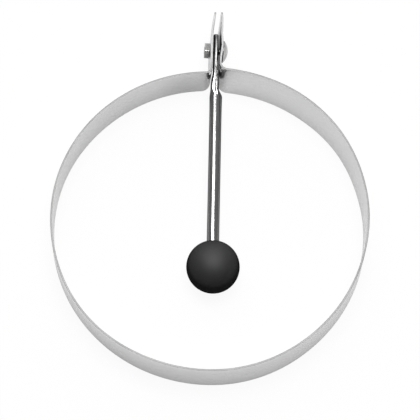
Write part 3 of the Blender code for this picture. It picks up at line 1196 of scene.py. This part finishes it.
@dataclass
class FoldingHandle:
    """The rod, flattened at its pivot, and the ball on its end."""

    pivot: Vector
    length: float = 75.3 * MM
    side_step: float = 0.4 * MM
    sway: float = -0.003
    rod_radius: float = 2.0 * MM
    flat_half: float = 0.8 * MM
    flat_heights: Pair = (3.0 * MM, 2.68 * MM)
    flat_side: float = 0.1 * MM
    flat_lean: float = 0.03
    crown_sides: Pair = (0.35 * MM, 0.0)
    crown_radius: float = 2.6 * MM
    eye_radius: float = 3.0 * MM
    eye_past_pivot: float = 3.0 * MM
    flat_edge: float = 0.55 * MM
    flat_end: float = 7.6 * MM
    neck_start: float = 12.3 * MM
    neck_end: float = 14.2 * MM
    neck_half: float = 1.4 * MM
    neck_heights: Pair = (2.36 * MM, 2.22 * MM)
    neck_edge: float = 0.85 * MM
    shoulder: float = 2.4 * MM
    shoulder_spread: float = 0.08 * MM
    spread_run: float = 6.0 * MM
    crease_side: float = 0.26 * MM
    crease_width: float = 0.15 * MM
    crease_depth: float = 0.32 * MM
    crease_lead: float = 2.5 * MM
    crease_run: float = 2.0 * MM
    crease_above: float = 0.7
    ball_radius: float = 8.55 * MM
    socket_radius: float = 2.25 * MM
    rod_depth: float = 2.0 * MM
    rod_straight: float = 6.0 * MM
    socket_rings: tuple[Pair, ...] = (
        (-0.12 * MM, 0.93), (-0.35 * MM, 0.97), (-1.2 * MM, 1.0))
    eye_hole: float = 1.4 * MM
    eye_drill: float = 6.0 * MM
    smooth_to: float = 38.0
    sides: int = 144
    rod_finish: DrawnRod = field(default_factory=DrawnRod)
    ball_finish: MouldedBlack = field(default_factory=MouldedBlack)

    def section(self, reach: float) -> Triple:
        """Give the rod's section at a distance from the pivot.

        Args:
            reach: The distance, toward the ball.

        Returns:
            Its half thickness, half height and edge radius.
        """
        thin = self.flat_half
        if reach < -self.eye_past_pivot:
            half_height = math.sqrt(max(self.eye_radius ** 2 - (reach + self.eye_past_pivot) ** 2, 0.0))
            return thin, half_height, min(self.flat_edge, half_height)
        if reach <= self.flat_end:
            height = blend(*self.flat_heights, max(reach, 0.0) / self.flat_end)
            return thin, height, self.flat_edge
        if reach <= self.neck_start:
            share = (reach - self.flat_end) / (self.neck_start - self.flat_end)
            soft = eased(share)
            return (blend(thin, self.neck_half, soft),
                    blend(self.flat_heights[1], self.neck_heights[0], share),
                    blend(self.flat_edge, self.neck_edge, soft))
        height = blend(*self.neck_heights, (reach - self.neck_start) / (self.neck_end - self.neck_start))
        if reach <= self.neck_end:
            return self.neck_half, height, self.neck_edge
        share = eased((reach - self.neck_end) / self.shoulder)
        past = reach - self.neck_end - self.shoulder
        spread = self.shoulder_spread * (1 - eased(past / self.spread_run))
        return (blend(self.neck_half, self.rod_radius + spread, share),
                blend(self.neck_heights[1], self.rod_radius, share),
                blend(self.neck_edge, self.rod_radius, share))

    def aside(self, reach: float, z: float) -> float:
        """Return how far to the right the rod lies at a distance from the pivot and a height.

        Its flat leans and stands a little to the right. Past the shoulder it runs slightly askew.
        """
        flat_share = 1 - eased((reach - self.flat_end) / (self.neck_end - self.flat_end))
        round_share = eased((reach - self.neck_end) / self.shoulder)
        past = max(reach - self.neck_end - self.shoulder, 0.0)
        flat_aside = self.flat_side + self.flat_lean * z
        return flat_share * flat_aside + round_share * self.side_step + past * self.sway

    def crown(self, reach: float, x: float) -> float:
        """Return how far the flat's rounded back falls away at a place across the rod."""
        fades = 1 - eased((reach - self.flat_end) / (self.neck_start - self.flat_end))
        top = blend(*self.crown_sides, eased((reach + self.eye_radius) / (3 * self.eye_radius)))
        return fades * (x - top) ** 2 / (2 * self.crown_radius)

    def crease(self, reach: float, x: float) -> float:
        """Return how deep the press left its crease along the neck at a place across the rod."""
        starts = eased((reach - self.flat_end + self.crease_lead) / self.crease_run)
        ends = 1 - eased((reach - self.neck_end) / self.shoulder)
        away = (x - self.crease_side) / self.crease_width
        return self.crease_depth * starts * ends * math.exp(-away * away)

    def pressed(self, turn: float, section: Triple) -> Pair:
        """Move a point of the round rod onto a pressed section.

        Args:
            turn: The point's angle round the rod, from +X toward +Z.
            section: The half thickness, half height and edge radius.

        Returns:
            The point's X and Z.
        """
        half_x, half_z, edge = section
        quarter, share = divmod(turn % (2 * math.pi), math.pi / 2)
        share /= math.pi / 2
        if quarter in (1, 3):
            share = 1 - share
        walk = share * (half_z - edge + edge * math.pi / 2 + half_x - edge)
        if walk < half_z - edge:
            x, z = half_x, walk
        elif walk < half_z - edge + edge * math.pi / 2:
            angle = (walk - (half_z - edge)) / edge
            x, z = half_x - edge + edge * math.cos(angle), half_z - edge + edge * math.sin(angle)
        else:
            x, z = half_x - edge - (walk - (half_z - edge) - edge * math.pi / 2), half_z
        return -x if quarter in (1, 2) else x, -z if quarter in (2, 3) else z

    def make_rod(self) -> Piece:
        """Model the rod: drawn out round, then pressed to the neck and the flat, and drilled.

        Returns:
            The rod, in place.
        """
        past = self.neck_end + self.shoulder
        stations = [self.length + self.rod_depth, self.length - self.rod_straight]
        for end, count in ((past, 12), (self.neck_end, 10), (self.neck_start, 2), (self.flat_end, 8),
                           (-self.eye_past_pivot, 8)):
            begin = stations[-1]
            stations += [blend(begin, end, k / count) for k in range(1, count + 1)]
        turns = [math.sin(math.pi / 2 * k / 12) for k in range(1, 12)] + [0.9995]
        stations += [-self.eye_past_pivot - self.eye_radius * turn for turn in turns]
        rod = add_shape("handle_rod_dressed", bpy.ops.mesh.primitive_circle_add, vertices=self.sides,
                        radius=self.rod_radius, fill_type="NGON",
                        location=self.pivot + Vector((0, -stations[0], 0)), rotation=(math.pi / 2, 0, 0))
        start_editing(rod)
        for here, there in zip(stations, stations[1:]):
            extrude_by(0, here - there, 0)
        stop_editing()
        merge_and_face_out(rod)
        for point in rod.data.vertices:
            away = point.co - self.pivot
            section = self.section(-away.y)
            x, z = self.pressed(math.atan2(away.z, away.x), section)
            z *= 1 - min(self.crown(-away.y, x) / max(section[1], 0.1 * MM), 0.5)
            if abs(z) > self.crease_above * self.rod_radius:
                z -= math.copysign(self.crease(-away.y, x), z)
            point.co = self.pivot + Vector((x + self.aside(-away.y, z), away.y, z))
        rod.data.update()
        cut_away(rod, add_shape("eye_drill", bpy.ops.mesh.primitive_cylinder_add, vertices=40,
                                radius=self.eye_hole, depth=self.eye_drill, location=self.pivot,
                                rotation=(0, math.pi / 2, 0)))
        return rod

    def make_ball(self) -> Piece:
        """Model the ball, with a countersunk socket round the rod.

        Returns:
            The ball, in place.
        """
        centre = self.pivot + Vector((self.side_step, -self.length, 0))
        ball = add_shape("ball_knob_dressed", bpy.ops.mesh.primitive_uv_sphere_add, segments=96,
                         ring_count=64, radius=self.ball_radius, location=centre,
                         rotation=(-math.pi / 2, 0, 0))
        start_editing(ball)
        mouth = math.sqrt(self.ball_radius ** 2 - self.socket_radius ** 2)
        pick(ball, "FACE", lambda middle, normal: middle.y - centre.y > mouth)
        bpy.ops.mesh.delete(type="FACE")
        pick(ball, "EDGE", lambda one, other: False)
        bpy.ops.mesh.select_non_manifold(extend=False)
        for step, share in self.socket_rings:
            extrude_by(0, step, 0)
            resize_by((share, 1, share), centre)
        bpy.ops.mesh.edge_face_add()
        stop_editing()
        merge_and_face_out(ball)
        return ball

    def build(self) -> list[Piece]:
        """Build and dress the rod and the ball.

        Returns:
            Both pieces, riding on the handle.
        """
        made = []
        for piece, node, slot, material in (
                (self.make_rod(), "handle_rod", "polished_steel", self.rod_finish.make()),
                (self.make_ball(), "ball_knob", "black_plastic", self.ball_finish.make())):
            dress(piece, material, self.smooth_to)
            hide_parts(node)
            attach(piece, "handle")
            made.append(piece)
        return made


# The studio


@dataclass(frozen=True)
class SoftBox:
    """One rectangular lamp that points at the object."""

    name: str
    aim: Pair
    size: Pair
    radiance: float
    distance: float = 1.15

    def place(self) -> None:
        """Hang the lamp. Its aim gives its tilts from overhead toward +X and toward +Y, in degrees."""
        toward = Vector([math.tan(math.radians(tilt)) for tilt in self.aim] + [1]).normalized()
        lamp = bpy.data.lights.new(self.name, "AREA")
        lamp.shape = "RECTANGLE"
        lamp.size, lamp.size_y = self.size
        lamp.energy = self.radiance * 4 * self.size[0] * self.size[1]
        placed = bpy.data.objects.new(self.name, lamp)
        placed.location = toward * self.distance
        placed.rotation_euler = toward.to_track_quat("Z", "Y").to_euler()
        bpy.context.collection.objects.link(placed)


@dataclass
class Studio:
    """The floor, the lamps, the surroundings and the camera."""

    position: Vector = field(default_factory=lambda: Vector((0.239, -222.96, 611.44)) * MM)
    target: Vector = field(default_factory=lambda: Vector((0.24, -2.42, 0)) * MM)
    roll: float = math.radians(1.0)
    lens: float = 170.25
    floor_radius: float = 8.0
    horizon: float = 0.95
    sky: float = 0.18
    horizon_edge: Pair = (0.04, 0.18)
    front_edge: Pair = (-0.7, -0.1)
    front_share: float = 0.3
    sweep_edge: Pair = (0.42, 0.62)
    lamps: tuple[SoftBox, ...] = (
        SoftBox("overhead_softbox", (3, 6), (0.56, 0.50), 8.4),
        SoftBox("strip_softbox", (-20, 20), (0.22, 0.40), 3.5),
    )

    def lay_floor(self) -> None:
        """Lay the floor under the ring."""
        floor = add_shape("floor", bpy.ops.mesh.primitive_circle_add, vertices=96,
                          radius=self.floor_radius, fill_type="NGON")
        dress(floor, PaleGround().make())

    def light(self) -> None:
        """Hang the lamps and set the surroundings: pale behind and low down, dim above and in front."""
        for lamp in self.lamps:
            lamp.place()
        world = bpy.data.worlds.new("studio")
        bpy.context.scene.world = world
        world.use_nodes = True
        board = Board(world.node_tree)
        way = board.parts(board.add("TexCoord").outputs["Generated"])
        low = board.times(board.remap(way[2], self.horizon_edge, (1.0, 0.0)),
                          board.remap(way[1], self.front_edge, (self.front_share, 1.0)))
        behind = board.remap(way[1], self.sweep_edge)
        seen = board.add("LightPath").outputs["Is Camera Ray"]
        share = board.either(board.either(low, behind), seen)
        level = board.tint(share, (self.sky,) * 3, (self.horizon,) * 3)
        back = board.add("Background", {"Color": level, "Strength": 1.0})
        board.add("OutputWorld", {"Surface": back.outputs[0]})

    def set_camera(self) -> None:
        """Place the camera as the photograph was taken."""
        lens = bpy.data.cameras.new("camera")
        lens.lens = self.lens
        lens.sensor_width = 36.0
        lens.clip_start = 0.01
        lens.clip_end = 30.0
        ahead = (self.target - self.position).normalized()
        right = ahead.cross(Vector((0, 0, 1))).normalized()
        up = right.cross(ahead)
        rolled_right = right * math.cos(self.roll) + up * math.sin(self.roll)
        rolled_up = up * math.cos(self.roll) - right * math.sin(self.roll)
        turn = Matrix((rolled_right, rolled_up, -ahead)).transposed().to_4x4()
        camera = bpy.data.objects.new("camera", lens)
        camera.matrix_world = Matrix.Translation(self.position) @ turn
        bpy.context.collection.objects.link(camera)
        bpy.context.scene.camera = camera


def report(pieces: list[Piece]) -> None:
    """Log each piece with its faces."""
    for piece in pieces:
        log.info("%s: %d faces", piece.name, len(piece.data.polygons))


def main() -> None:
    """Build the studio, the ring, its fasteners and the handle."""
    logging.basicConfig(level=logging.INFO, format="%(name)s: %(message)s")
    bpy.context.scene.view_settings.view_transform = "Standard"
    pivot = Vector(frame["joints"][0]["pos_m"])
    studio = Studio()
    studio.lay_floor()
    studio.light()
    studio.set_camera()
    report([RingBand().build()])
    report(PivotFasteners(pivot).build())
    report(FoldingHandle(pivot).build())


if __name__ == "__main__":
    main()
